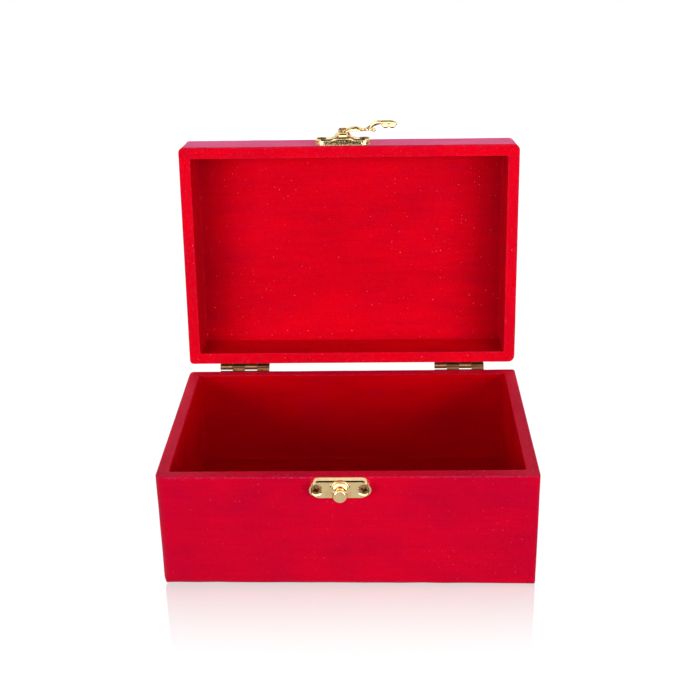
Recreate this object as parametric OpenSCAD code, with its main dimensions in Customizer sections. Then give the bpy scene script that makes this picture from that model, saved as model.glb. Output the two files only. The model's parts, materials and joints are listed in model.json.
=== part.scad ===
// Small hinged wooden box with a swing latch, with its lid standing open.
// Origin: centre of the underside. +X is right seen from the front, the front faces -Y, +Z is up.
// Lid pieces are drawn as on the shut box and then turned back about the hinge line.

/* [Box] */
// Outside width
box_w = 165; // [130:1:220]
// Outside depth from front to back
box_d = 110; // [85:1:150]
// Height of the box without its lid
box_h = 55; // [42:1:80]
// Thickness of the side boards
wall_t = 5.7; // [5:0.1:8]
// Thickness of the bottom board
floor_t = 7.5; // [4:0.1:10]
// Rounding of the outside corners and edges
edge_r = 3.2; // [1:0.1:3.5]
// Rounding of the outside edges at the two rims
rim_r = 0.8; // [0.3:0.1:1]

/* [Lid] */
// Height of the lid
lid_h = 26; // [22:1:40]
// Thickness of the lid's top panel
lid_top_t = 3.6; // [2.5:0.1:5]
// Gap between the rims when the lid is shut
lid_gap = 0.2; // [0.1:0.05:0.4]
// Angle of the open lid, where the hinge stops
open_angle = 96; // [90:1:105]

/* [Hinges] */
// Length of a hinge along its pin
hinge_l = 25; // [20:1:32]
// Distance from the side of the box to the middle of a hinge
hinge_inset = 28; // [22:1:36]
// Height of a leaf's plate
leaf_h = 8.5; // [7:0.1:9.5]
// Thickness of a leaf
leaf_t = 0.8; // [0.6:0.1:1]
// Outer diameter of the knuckles
barrel_d = 2.7; // [2.4:0.1:3.2]
// Space between the knuckles and the back of the box
barrel_off = 0.65; // [0.5:0.05:1]
// Height of the hinge line above the rim of the box
axis_up = 1.2; // [0.8:0.1:1.4]
// Diameter of the hinge pin
hinge_pin_d = 1.4; // [1.2:0.1:1.6]
// Distance between the two screws of a leaf
leaf_screw_gap = 15; // [12:0.5:17]
// Diameter of a leaf screw's head
leaf_screw_d = 3.6; // [3:0.1:4]

/* [Latch plates] */
// Length of each plate, with its round ends
plate_l = 27; // [26:0.5:32]
// Width of each plate
plate_w = 9.4; // [9:0.1:11]
// Thickness of each plate
plate_t = 2.8; // [2.2:0.1:3.4]
// Distance between the two screws of a plate
plate_screw_gap = 20.6; // [19.5:0.1:21]
// Diameter of a plate screw's head
plate_screw_d = 3.9; // [3.4:0.1:4.1]
// Place of both plates, counted from the middle of the front
latch_x = -2.8; // [-6:0.1:6]
// Distance from the rim of the box down to the knob
catch_down = 4.9; // [4.8:0.1:6]
// Distance from the rim of the lid up to the rivet
latch_up = 7.3; // [6:0.1:9]

/* [Knob and hook] */
// Diameter of the knob's head
knob_head_d = 6.1; // [5.4:0.1:6.4]
// Thickness of the knob's head
knob_head_t = 1.2; // [0.9:0.1:2]
// Diameter of the knob's neck
knob_neck_d = 3.4; // [2.8:0.1:3.8]
// Diameter of the hook's hub
hub_d = 7.8; // [7:0.1:9]
// Diameter of the hub's top
hub_top_d = 4.8; // [4.6:0.1:6]
// Height of the hook's hub
hub_h = 2.75; // [2.4:0.05:3.2]
// Thickness of the hook's arm
arm_t = 1.6; // [1.2:0.1:2]
// Width of metal round the hook's mouth
web_t = 1.6; // [1.2:0.1:2]
// Diameter of the rivet
rivet_d = 2.4; // [2:0.1:2.6]
// Diameter of the rivet's head
rivet_head_d = 3.9; // [3.5:0.1:4.2]

/* [Hidden] */
$fn = 64;

// Colours of the painted boards, the latch and the hinges
paint = "#d4062c";
paint_inside = "#b80520";
gold = "#e2c877";
brass = "#a98f62";

// Overrun of a cut past the face that it opens
over = 1;
// Gap round a piece that is pressed, riveted or screwed home
fit_gap = 0.02;
// Gap round a piece that turns
run_gap = 0.05;

// Bottom of the shut lid, and height of its side boards
lid_z = box_h + lid_gap;
lid_board_h = lid_h - lid_top_t;

// Hinge line
axis_back = barrel_off + barrel_d / 2;
axis_y = box_d / 2 + axis_back;
axis_z = box_h + axis_up;
// Knuckles on each hinge, counted from the left, and the space between two of them
knuckle_count = 4;
knuckle_gap = 0.15;
knuckle_pitch = hinge_l / knuckle_count;
// Distance from the hinge line to the near edge of a leaf's plate
leaf_near = barrel_d / 2 + knuckle_gap;
leaf_corner_r = 1;
leaf_screw_z = leaf_near + leaf_h / 2;
// Reach of the stop behind the hinge line, and its gap to the open lid's leaf
stop_l = leaf_near + barrel_d / 2;
stop_gap = 0.03;
stop_t = axis_back - leaf_t - stop_gap;

// Screws: a shank as a share of the head, and the share of a board's thickness that is bitten
shank_share = 0.55;
bite_share = 0.86;
recess_w_share = 0.18;
recess_l_share = 0.62;
recess_h_share = 0.22;

// Latch plates: bevel of the rim, depth of the screw heads, and the raised middles
plate_bevel = 0.6;
screw_sink = 0.45;
catch_boss_h = 0.5;
latch_boss_h = 0.9;
boss_top_d = 8.4;
boss_foot_d = 11.6;
latch_boss_foot_d = 13;

// Knob: collar under the neck, and bevel of the head
collar_h = 1.1;
collar_foot_d = 7.6;
collar_top_d = 5.6;
head_bevel = 0.5;

// Hook, in levels above the board that carries the latch
hub_z = plate_t + latch_boss_h + run_gap;
hub_top = hub_z + hub_h;
// Height of the straight foot under the hub's cone
hub_foot = 0.5;
arm_rise = 0.8;
arm_top = hub_top + arm_rise;
arm_z = arm_top - arm_t;
rivet_head_h = 0.85;
// Room between the hook and the knob's head
hook_slack = 0.3;
knob_back = arm_top + hook_slack;
// Mouth of the hook: its place along the arm is where the knob stands when the box is shut
mouth_gap = 0.25;
mouth_x = latch_up + lid_gap + catch_down;
mouth_r = knob_neck_d / 2 + mouth_gap;
ring_r = mouth_r + web_t;
prong_drop = 1.2;
prong_x = mouth_x + sqrt(pow(mouth_r + web_t / 2, 2) - pow(prong_drop, 2));
// Arm: half widths at the hub and at the mouth, and the round swelling between them
arm_low_hub = 2.1;
arm_high_hub = 2.6;
arm_low_mouth = 1.2;
arm_swell_r = 2.7;
arm_swell_share = 0.52;
// Stem from the mouth up to the thumb tab, which has two rolled ridges
stem_w = 1.8;
stem_y = knob_head_d / 2 + mouth_gap;
stem_foot = 1.4;
stem_knee = 4.8;
stem_run = 6.5;
ridge_r = 2.05;
ridge_pitch = 3.1;
tab_w = 4.4;
tab_rise = 1.4;
tab_z = arm_top + tab_rise;
tab_top = tab_z + ridge_r;
ridge_x = mouth_x + stem_run + ridge_r;

// Shapes that several pieces share

// Rectangle standing on the X axis, with its own rounding below and above
module round_outline(w, h, r_low, r_high) {
    translate([-w / 2, r_low]) square([w, h - r_low - r_high]);
    translate([-w / 2 + r_low, 0]) square([w - 2 * r_low, h / 2]);
    translate([-w / 2 + r_high, h / 2]) square([w - 2 * r_high, h / 2]);
    for (side = [-1, 1]) {
        translate([side * (w / 2 - r_low), r_low]) circle(r_low);
        translate([side * (w / 2 - r_high), h - r_high]) circle(r_high);
    }
}

// Block with the box's footprint, rounded all round
module rounded_block(z, h, r_low, r_high) {
    translate([0, 0, z]) intersection() {
        translate([0, -box_d / 2, 0]) linear_extrude(h) round_outline(box_w, box_d, edge_r, edge_r);
        rotate([90, 0, 0]) linear_extrude(box_d, center = true) round_outline(box_w, h, r_low, r_high);
        rotate([90, 0, 90]) linear_extrude(box_w, center = true) round_outline(box_d, h, r_low, r_high);
    }
}

// Board across the front (side -1) or the back (side 1), as a plain block
module cross_block(side, z, h) {
    translate([-box_w / 2, side * (box_d - wall_t) / 2 - wall_t / 2, z]) cube([box_w, wall_t, h]);
}

// Board at the left (side -1) or the right (side 1), between the cross boards
module side_block(side, z, h) {
    translate([side * (box_w - wall_t) / 2 - wall_t / 2, -box_d / 2 + wall_t, z])
        cube([wall_t, box_d - 2 * wall_t, h]);
}

module box_envelope() {
    rounded_block(0, box_h, edge_r, rim_r);
}

module lid_envelope() {
    rounded_block(lid_z, lid_h, rim_r, edge_r);
}

// Turns a piece of the shut lid back to where it stands open
module lid_open() {
    translate([0, axis_y, axis_z]) rotate([-open_angle, 0, 0]) translate([0, -axis_y, -axis_z]) children();
}

// Places on the fronts: X along the plate, Y up the front, Z out of it
module catch_place() {
    translate([latch_x, -box_d / 2, box_h - catch_down]) rotate([90, 0, 0]) children();
}

module latch_place() {
    translate([latch_x, -box_d / 2, lid_z + latch_up]) rotate([90, 0, 0]) children();
}

// Place on the hinge line of the left (side -1) or right (side 1) hinge
module hinge_place(side) {
    translate([side * (box_w / 2 - hinge_inset), axis_y, axis_z]) children();
}

// Countersunk screw with its head's top at the origin, pointing down
module screw(head_d, length) {
    shank_d = head_d * shank_share;
    difference() {
        rotate_extrude() polygon([
            [0, 0], [head_d / 2, 0], [shank_d / 2, -(head_d - shank_d) / 2],
            [shank_d / 2, shank_d - length], [0, -length]
        ]);
        for (turn = [0, 90]) rotate([0, 0, turn])
            translate([-head_d * recess_l_share / 2, -head_d * recess_w_share / 2, -head_d * recess_h_share])
                cube([head_d * recess_l_share, head_d * recess_w_share, head_d * recess_h_share + over]);
    }
}

// Seat and pilot hole of that screw, opening at the given height above its head
module screw_hole(head_d, length, sink) {
    shank_d = head_d * shank_share;
    rotate_extrude() polygon([
        [0, sink + over], [head_d / 2 + sink + fit_gap, sink + over], [head_d / 2 + sink + fit_gap, sink],
        [shank_d / 2 + fit_gap, -(head_d - shank_d) / 2], [shank_d / 2 + fit_gap, shank_d - length],
        [0, -length - fit_gap]
    ]);
}

plate_screw_l = plate_t - screw_sink + wall_t * bite_share;
leaf_screw_l = leaf_t + wall_t * bite_share;

module plate_screw_spots() {
    for (side = [-1, 1]) translate([side * plate_screw_gap / 2, 0, plate_t - screw_sink]) children();
}

module plate_screws() {
    plate_screw_spots() screw(plate_screw_d, plate_screw_l);
}

module plate_screw_holes() {
    plate_screw_spots() screw_hole(plate_screw_d, plate_screw_l, screw_sink);
}

// Spots of a leaf's screws: level is -1 for the box leaf and 1 for the lid leaf
module leaf_screw_spots(level) {
    for (side = [-1, 1])
        translate([side * leaf_screw_gap / 2, leaf_t - axis_back, level * leaf_screw_z])
            rotate([-90, 0, 0]) children();
}

module leaf_screws(level) {
    leaf_screw_spots(level) screw(leaf_screw_d, leaf_screw_l);
}

module leaf_screw_holes(level) {
    leaf_screw_spots(level) screw_hole(leaf_screw_d, leaf_screw_l, 0);
}

// Boards of the box

module front_board() {
    color(paint) difference() {
        intersection() {
            box_envelope();
            cross_block(-1, 0, box_h);
        }
        catch_place() plate_screw_holes();
    }
}

module back_board() {
    color(paint) difference() {
        intersection() {
            box_envelope();
            cross_block(1, 0, box_h);
        }
        for (side = [-1, 1]) hinge_place(side) leaf_screw_holes(-1);
    }
}

module box_side_board(side) {
    color(paint) intersection() {
        box_envelope();
        side_block(side, 0, box_h);
    }
}

module bottom_board() {
    color(paint_inside) translate([-box_w / 2 + wall_t, -box_d / 2 + wall_t, 0])
        cube([box_w - 2 * wall_t, box_d - 2 * wall_t, floor_t]);
}

// Boards of the lid

module lid_front_board() {
    color(paint) lid_open() difference() {
        intersection() {
            lid_envelope();
            cross_block(-1, lid_z, lid_board_h);
        }
        latch_place() plate_screw_holes();
    }
}

module lid_back_board() {
    color(paint) lid_open() difference() {
        intersection() {
            lid_envelope();
            cross_block(1, lid_z, lid_board_h);
        }
        for (side = [-1, 1]) hinge_place(side) leaf_screw_holes(1);
    }
}

module lid_side_board(side) {
    color(paint) lid_open() intersection() {
        lid_envelope();
        side_block(side, lid_z, lid_board_h);
    }
}

module lid_top_panel() {
    color(paint) lid_open() intersection() {
        lid_envelope();
        translate([-box_w / 2, -box_d / 2, lid_z + lid_board_h]) cube([box_w, box_d, lid_top_t]);
    }
}

// Latch: two bevelled plates with round ends, a knob below, and a hook that turns on a rivet above

// Cross section of a plate on one side of its middle line
function half_plate() = [
    [0, 0], [plate_w / 2, 0], [plate_w / 2, plate_t - plate_bevel], [plate_w / 2 - plate_bevel, plate_t], [0, plate_t]
];

module plate_body(foot_d, boss_h, bore_d) {
    difference() {
        union() {
            for (side = [-1, 1]) {
                translate([side * (plate_l - plate_w) / 2, 0, 0]) rotate_extrude() polygon(half_plate());
                rotate([90, 0, 90]) linear_extrude(plate_l - plate_w, center = true)
                    mirror([(side + 1) / 2, 0]) polygon(half_plate());
            }
            intersection() {
                translate([0, 0, plate_t]) cylinder(d1 = foot_d, d2 = boss_top_d, h = boss_h);
                translate([-plate_l / 2, plate_bevel - plate_w / 2, 0])
                    cube([plate_l, plate_w - 2 * plate_bevel, plate_t + boss_h + over]);
            }
        }
        translate([0, 0, -over]) cylinder(d = bore_d + 2 * fit_gap, h = plate_t + boss_h + 2 * over);
        plate_screw_holes();
    }
}

module catch_plate() {
    color(gold) catch_place() plate_body(boss_foot_d, catch_boss_h, knob_neck_d);
}

module catch_knob() {
    collar_z = plate_t + catch_boss_h;
    color(gold) catch_place() rotate_extrude() polygon([
        [0, 0], [knob_neck_d / 2, 0], [knob_neck_d / 2, collar_z],
        [collar_foot_d / 2, collar_z], [collar_top_d / 2, collar_z + collar_h], [knob_neck_d / 2, collar_z + collar_h],
        [knob_neck_d / 2, knob_back], [knob_head_d / 2, knob_back],
        [knob_head_d / 2, knob_back + knob_head_t - head_bevel],
        [knob_head_d / 2 - head_bevel, knob_back + knob_head_t], [0, knob_back + knob_head_t]
    ]);
}

module catch_screws() {
    color(gold) catch_place() plate_screws();
}

module latch_plate() {
    color(gold) lid_open() latch_place() plate_body(latch_boss_foot_d, latch_boss_h, rivet_d);
}

module latch_screws() {
    color(gold) lid_open() latch_place() plate_screws();
}

module latch_rivet() {
    dome_r = (pow(rivet_head_d / 2, 2) + pow(rivet_head_h, 2)) / (2 * rivet_head_h);
    color(gold) lid_open() latch_place() {
        cylinder(d = rivet_d, h = hub_top + run_gap + rivet_head_h / 2);
        translate([0, 0, hub_top + run_gap]) rotate_extrude() intersection() {
            translate([0, rivet_head_h - dome_r]) circle(dome_r);
            square([rivet_head_d / 2, rivet_head_h]);
        }
    }
}

// Outline of the hook's flat part: an arm that ends in a ring, open towards the rim of the lid
module hook_outline() {
    difference() {
        union() {
            polygon([
                [0, -arm_low_hub], [mouth_x - mouth_r, -arm_low_mouth],
                [mouth_x - mouth_r, mouth_r], [mouth_x, ring_r], [0, arm_high_hub]
            ]);
            translate([mouth_x * arm_swell_share, 0]) circle(arm_swell_r);
            intersection() {
                translate([mouth_x, 0]) circle(ring_r);
                translate([mouth_x - ring_r, -prong_drop]) square([2 * ring_r, ring_r + prong_drop]);
            }
            translate([prong_x, -prong_drop]) circle(web_t / 2);
            translate([mouth_x, mouth_r]) square([stem_foot, stem_y + stem_w - mouth_r]);
        }
        translate([mouth_x, 0]) circle(mouth_r);
        intersection() {
            difference() {
                circle(mouth_x + mouth_r);
                circle(mouth_x - mouth_r);
            }
            translate([mouth_x - 2 * ring_r, -2 * ring_r]) square([4 * ring_r, 2 * ring_r]);
        }
    }
}

// Outline of the stem and the thumb tab seen from the side of the hook
module stem_outline() {
    polygon([
        [mouth_x, arm_z], [mouth_x + stem_foot, arm_z], [mouth_x + stem_knee, tab_top - arm_t],
        [ridge_x, tab_top - arm_t], [ridge_x, tab_top], [mouth_x + stem_knee - arm_t / 2, tab_top],
        [mouth_x + stem_foot - arm_t / 2, arm_top], [mouth_x, arm_top]
    ]);
}

module tab_outline() {
    for (step = [0, 1]) translate([ridge_x + step * ridge_pitch, tab_z]) circle(ridge_r);
    translate([ridge_x, tab_z]) square([ridge_pitch, ridge_r]);
}

module latch_hook() {
    color(gold) lid_open() latch_place() difference() {
        union() {
            translate([0, 0, hub_z]) rotate_extrude() polygon([
                [0, 0], [hub_d / 2, 0], [hub_d / 2, hub_foot], [hub_top_d / 2, hub_h], [0, hub_h]
            ]);
            translate([0, 0, arm_z]) linear_extrude(arm_t) hook_outline();
            translate([0, stem_y + stem_w, 0]) rotate([90, 0, 0]) linear_extrude(stem_w) stem_outline();
            translate([0, stem_y + (stem_w + tab_w) / 2, 0]) rotate([90, 0, 0]) linear_extrude(tab_w) tab_outline();
        }
        translate([0, 0, hub_z - over]) cylinder(d = rivet_d + 2 * run_gap, h = hub_h + 2 * over);
        translate([0, 0, hub_top]) cylinder(d = rivet_head_d + 2 * hook_slack, h = arm_rise + over);
    }
}

// Hinges: two leaves with two knuckles each, on one pin

// One knuckle, seen along the pin: the barrel and the neck down to the leaf
module knuckle_outline() {
    circle(d = barrel_d);
    polygon([
        [-axis_back, -leaf_near - leaf_t], [-axis_back, -leaf_near + leaf_t / 2], [-barrel_d / 2, 0], [0, 0],
        [0, -barrel_d / 2], [leaf_t - axis_back, -leaf_near - leaf_t]
    ]);
}

// Heel behind a box knuckle, on which the open lid's leaf comes to rest
module stop_outline() {
    rotate(90 - open_angle) square([stop_l, stop_t]);
}

module knuckle_row(first) {
    for (i = [first, first + 2])
        translate([i * knuckle_pitch - (hinge_l - knuckle_gap) / 2, 0, 0])
            rotate([90, 0, 90]) linear_extrude(knuckle_pitch - knuckle_gap) children();
}

// Leaf that hangs below the hinge line, with its knuckles from the given one
module leaf_body(first) {
    translate([0, leaf_t - axis_back, -leaf_near - leaf_h]) rotate([90, 0, 0])
        linear_extrude(leaf_t) round_outline(hinge_l - knuckle_gap, leaf_h, leaf_corner_r, leaf_corner_r / 4);
    knuckle_row(first) knuckle_outline();
}

module pin_bore(gap) {
    rotate([0, 90, 0]) cylinder(d = hinge_pin_d + 2 * gap, h = hinge_l + 2 * over, center = true);
}

module hinge_box_leaf(side) {
    color(brass) hinge_place(side) difference() {
        union() {
            leaf_body(1);
            knuckle_row(1) stop_outline();
        }
        pin_bore(fit_gap);
        leaf_screw_holes(-1);
    }
}

module hinge_lid_leaf(side) {
    color(brass) lid_open() hinge_place(side) difference() {
        mirror([0, 0, 1]) leaf_body(0);
        pin_bore(run_gap);
        leaf_screw_holes(1);
    }
}

module hinge_pin(side) {
    color(brass) hinge_place(side) rotate([0, 90, 0])
        cylinder(d = hinge_pin_d, h = hinge_l - knuckle_gap, center = true);
}

module hinge_box_screws(side) {
    color(brass) hinge_place(side) leaf_screws(-1);
}

module hinge_lid_screws(side) {
    color(brass) lid_open() hinge_place(side) leaf_screws(1);
}

front_board();
back_board();
box_side_board(-1);  // left_board
box_side_board(1);  // right_board
bottom_board();
lid_front_board();
lid_back_board();
lid_side_board(-1);  // lid_left_board
lid_side_board(1);  // lid_right_board
lid_top_panel();
catch_plate();
catch_knob();
catch_screws();
latch_plate();
latch_hook();
latch_rivet();
latch_screws();
hinge_box_leaf(-1);  // left_hinge_box_leaf
hinge_lid_leaf(-1);  // left_hinge_lid_leaf
hinge_pin(-1);  // left_hinge_pin
hinge_box_screws(-1);  // left_hinge_box_screws
hinge_lid_screws(-1);  // left_hinge_lid_screws
hinge_box_leaf(1);  // right_hinge_box_leaf
hinge_lid_leaf(1);  // right_hinge_lid_leaf
hinge_pin(1);  // right_hinge_pin
hinge_box_screws(1);  // right_hinge_box_screws
hinge_lid_screws(1);  // right_hinge_lid_screws
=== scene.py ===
"""Looks of the small red wooden box with its lid open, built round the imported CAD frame.

The sections follow the box as it is put together: the boards, the lid, the hinges, the catch on the
front and the latch on the lid, and at the end the studio. Blender works in metres. The sizes here
are in millimetres, except where a comment says metres.
"""

import json
import math

import bmesh
import bpy
from mathutils import Matrix, Vector, noise


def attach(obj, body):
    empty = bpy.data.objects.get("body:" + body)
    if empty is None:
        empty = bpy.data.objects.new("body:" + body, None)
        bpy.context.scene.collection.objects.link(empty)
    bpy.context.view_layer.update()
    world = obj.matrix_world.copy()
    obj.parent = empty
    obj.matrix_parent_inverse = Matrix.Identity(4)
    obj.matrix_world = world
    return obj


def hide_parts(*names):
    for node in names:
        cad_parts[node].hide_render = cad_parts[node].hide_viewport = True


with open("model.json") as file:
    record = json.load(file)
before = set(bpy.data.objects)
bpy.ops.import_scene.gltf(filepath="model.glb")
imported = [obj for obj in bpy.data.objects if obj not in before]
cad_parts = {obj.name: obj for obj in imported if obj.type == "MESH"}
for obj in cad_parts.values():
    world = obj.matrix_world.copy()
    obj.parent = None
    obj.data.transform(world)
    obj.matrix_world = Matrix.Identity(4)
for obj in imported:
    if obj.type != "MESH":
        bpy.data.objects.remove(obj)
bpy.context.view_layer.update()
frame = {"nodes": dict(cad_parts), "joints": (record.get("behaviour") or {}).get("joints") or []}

# Bottom board
# A plain softwood board between the side boards, flush with their lower edges. It is painted red with
# the rest of the inside, and the box stands on it.

MM = 0.001
# The turn of a piece that stays as it was made
as_made = Matrix()


def box_in_mm(node, turn=as_made):
    """Lowest and highest corner of a CAD node, as it was before this turn."""
    places = [turn.inverted() @ v.co for v in frame["nodes"][node].data.vertices]
    low, high = (Vector(limit(p[axis] for p in places) for axis in range(3)) for limit in (min, max))
    return low / MM, high / MM


front_low, front_high = box_in_mm("front_board")
bottom_low, bottom_high = box_in_mm("bottom_board")
box_w = front_high.x - front_low.x
box_d = -2 * front_low.y
box_h = front_high.z
wall_t = front_high.y - front_low.y
inside_half_w = box_w / 2 - wall_t
inside_half_d = box_d / 2 - wall_t

# Rounding of the outside edges, of the outside edges at a rim, and of the inside edges at a rim
edge_r = 3.2
rim_r = 0.8
inner_r = 0.5
# The inner rounding runs out over this length before each inside corner
inner_fade = 2.5
# Sanding by hand: how far the faces wander inwards and over what length, and where the noise for each
# of the three directions lies
sanding_depth = 0.12
sanding_length = 28.0
noise_start = Vector((0, 1.7, 0))
noise_apart = Vector((7.3, 0, 0))
# How much a rounding varies from corner to corner, and along each edge, and over what lengths
corner_share = 0.3
corner_length = 52.0
stroke_share = 0.2
stroke_length = 13.0
# Spacing of the mesh on a board, the closer lines near each of its edges, and the least gap that they
# leave in the middle of a thin board
board_step = 5.0
edge_lines = (0, 0.15, 0.3, 0.5, 0.8, 1.2, 1.7, 2.4, 3.2, 4.4)
middle_gap = 0.3
# Planes that are closer than this count as one
one_plane = 0.01
# Reach of the pale edge line from an edge, abraded paint that is also a painted highlight on the rounding,
# and how strong the line is at an edge that isn't at the outside of a rim
edge_line_reach = 0.5
far_edge_line = 0.3
# Width of the painted shade along the left and right inside walls, in place of the shadow that those walls
# cast
painted_shade_w = 12.0


class Envelope:
    """The rounded block that a set of boards is sanded to, open at its rim.

    lean is how much rounder its edges are at its right end than in the middle.
    """

    def __init__(self, low_z, high_z, rim_z, lean):
        self.low = Vector((-box_w / 2, -box_d / 2, low_z))
        self.high = Vector((box_w / 2, box_d / 2, high_z))
        self.rim_z = rim_z
        self.lean = lean

    def radius(self, point, axes):
        """Radius of the edge along the third axis that is nearest to a point."""
        if axes == (0, 1):
            return edge_r
        middle = (self.low.z + self.high.z) / 2
        return rim_r if (point.z < middle) == (self.rim_z < middle) else edge_r

    def paint_number(self, axis, value):
        """0 for a board's face inside, 1 for one on the outside and 2 for one at the rim."""
        if axis == 2 and abs(value - self.rim_z) < one_plane:
            return 2
        return int(min(abs(value - self.low[axis]), abs(value - self.high[axis])) < one_plane)


def pull_in(point, centre, axes, radius):
    """Moves a point that is past a rounded edge onto the rounding."""
    a, b = axes
    da, db = point[a] - centre[a], point[b] - centre[b]
    distance = math.hypot(da, db)
    if distance > radius:
        point[a] = centre[a] + da * radius / distance
        point[b] = centre[b] + db * radius / distance


def soften(point, envelope, rim_edge):
    """Place of a point of a plain block once its board is sanded, and the strength there of its pale edge
    line, which is abraded paint and also a painted highlight on the rounding.
    """
    result = point.copy()
    near = []
    for axis in range(3):
        for face in (envelope.low[axis], envelope.high[axis]):
            depth = abs(point[axis] - face)
            near.append((depth, axis == 2 and face == envelope.rim_z))
            if depth < one_plane:
                inwards = 1 if face == envelope.low[axis] else -1
                wander = noise.noise(point / sanding_length + axis * noise_apart + noise_start)
                result[axis] += inwards * sanding_depth * (0.5 + 0.5 * wander)
    vary = 1 + envelope.lean * point.x / envelope.high.x
    vary += (
        corner_share * noise.noise(point / corner_length)
        + stroke_share * noise.noise(point / stroke_length))
    for axes in ((0, 2), (1, 2), (0, 1)):
        radius = envelope.radius(point, axes) * vary
        centre = Vector(
            min(max(value, low + radius), high - radius)
            for value, low, high in zip(result, envelope.low, envelope.high))
        pull_in(result, centre, axes, radius)
    near.sort()
    edge_depth = near[1][0]
    wear_and_highlight = 1 if near[0][1] or near[1][1] else far_edge_line
    inside = rim_edge(point) if rim_edge else None
    if inside:
        axes, corner, signs, radius = inside
        radius *= vary
        depth = max(abs(point[axis] - at) for axis, at in zip(axes, corner)) + (inner_r - radius)
        if depth < edge_depth:
            edge_depth, wear_and_highlight = depth, far_edge_line
        centre = result.copy()
        for axis, at, sign in zip(axes, corner, signs):
            centre[axis] = at + sign * radius
        if all((result[axis] - centre[axis]) * sign <= 0 for axis, sign in zip(axes, signs)):
            pull_in(result, centre, axes, radius)
    return result, wear_and_highlight * math.exp(-((edge_depth / edge_line_reach) ** 2))


def stations(low, high):
    """Positions of the mesh lines from low to high, closer together near both ends."""
    closest = [d for d in edge_lines if d < (high - low) / 2 - middle_gap]
    first, last = low + closest[-1], high - closest[-1]
    count = max(1, round((last - first) / board_step))
    middle = [first + (last - first) * i / count for i in range(1, count)]
    return [low + d for d in closest] + middle + [high - d for d in reversed(closest)]


def board_mesh(name, low, high, envelope, grain_axis, grain_start, rim_edge=None, turn=as_made):
    """A sanded board as a mesh in metres, with its grain directions and its pale edge line as attributes;
    that line is abraded paint and also a painted highlight on the rounding.

    Its faces inside have material 0, those on the outside material 1 and those at the rim the last one.
    """
    lines = [stations(low[axis], high[axis]) for axis in range(3)]
    last = [len(line) - 1 for line in lines]
    others = [axis for axis in range(3) if axis != grain_axis]
    places, faces, coats, grain, edges, index = [], [], [], [], [], {}

    def vertex(key):
        if key not in index:
            index[key] = len(places)
            plain = Vector(lines[axis][key[axis]] for axis in range(3))
            place, edge_wear_and_highlight = soften(plain, envelope, rim_edge)
            places.append(turn @ (place * MM))
            grain.extend((
                plain[grain_axis] + grain_start, plain[others[0]] + grain_start, plain[others[1]]))
            edges.append(edge_wear_and_highlight)
        return index[key]

    for axis in range(3):
        a, b = (axis + 1) % 3, (axis + 2) % 3
        for end in (0, last[axis]):
            for i in range(last[a]):
                for j in range(last[b]):
                    corners = [(i, j), (i + 1, j), (i + 1, j + 1), (i, j + 1)]
                    if end == 0:
                        corners.reverse()
                    face = []
                    for u, v in corners:
                        key = [0, 0, 0]
                        key[axis], key[a], key[b] = end, u, v
                        face.append(vertex(tuple(key)))
                    faces.append(face)
                    coats.append(envelope.paint_number(axis, lines[axis][end]))
    mesh = bpy.data.meshes.new(name)
    mesh.from_pydata(places, [], faces)
    mesh.polygons.foreach_set("material_index", coats)
    mesh.attributes.new("grain", "FLOAT_VECTOR", "POINT").data.foreach_set("vector", grain)
    mesh.attributes.new("edge", "FLOAT", "POINT").data.foreach_set("value", edges)
    return mesh


# Faces that meet at more than this angle keep a sharp edge between them
crease = math.radians(38)


def put_in_scene(name, data):
    """A new object with this mesh, lamp or camera, in the scene."""
    thing = bpy.data.objects.new(name, data)
    bpy.context.scene.collection.objects.link(thing)
    return thing


def place_piece(name, mesh, materials, body, slot, *nodes):
    """Puts a finished mesh into the scene as a piece that stands for its CAD nodes."""
    mesh.shade_smooth()
    mesh.set_sharp_from_angle(angle=crease)
    piece = put_in_scene(name, mesh)
    for material in materials:
        mesh.materials.append(material)
    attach(piece, body)
    if nodes:
        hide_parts(*nodes)


def colour(hex_code):
    """Linear colour with alpha from an sRGB hex code."""
    channels = [int(hex_code[i:i + 2], 16) / 255 for i in (1, 3, 5)]
    linear = [c / 12.92 if c <= 0.04045 else ((c + 0.055) / 1.055) ** 2.4 for c in channels]
    return (*linear, 1.0)


def add(tree, kind, inputs=None, **settings):
    """Adds a shader node with its settings, and fills its inputs by name or number.

    An input takes a value, a socket, or a node, which stands for the first output that it has in use.
    """
    node = tree.nodes.new("ShaderNode" + kind)
    for setting, value in settings.items():
        setattr(node, setting, value)
    for socket, value in (inputs or {}).items():
        if isinstance(value, bpy.types.Node):
            value = next(output for output in value.outputs if output.enabled)
        if isinstance(value, bpy.types.NodeSocket):
            tree.links.new(value, node.inputs[socket])
        else:
            node.inputs[socket].default_value = value
    return node


def new_material(name):
    """A material and its empty node tree."""
    material = bpy.data.materials.new(name)
    material.use_nodes = True
    material.node_tree.nodes.clear()
    return material, material.node_tree


def in_millimetres(tree):
    """Places on a piece in millimetres, for patterns that keep their real size."""
    place = add(tree, "TexCoord").outputs["Object"]
    return add(tree, "Mapping", {"Vector": place, "Scale": [1 / MM] * 3})


def clouds(tree, where, size, detail, roughness, low, high, least=0.0, most=1.0):
    """Noise with features of a size, and a stretched copy of it.

    The copy goes from least to most where the noise goes from low to high.
    """
    cloud = add(tree, "TexNoise", {
        "Vector": where, "Scale": 1 / size, "Detail": detail, "Roughness": roughness})
    return cloud, add(tree, "MapRange", {
        "Value": cloud, "From Min": low, "From Max": high, "To Min": least, "To Max": most})


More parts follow.
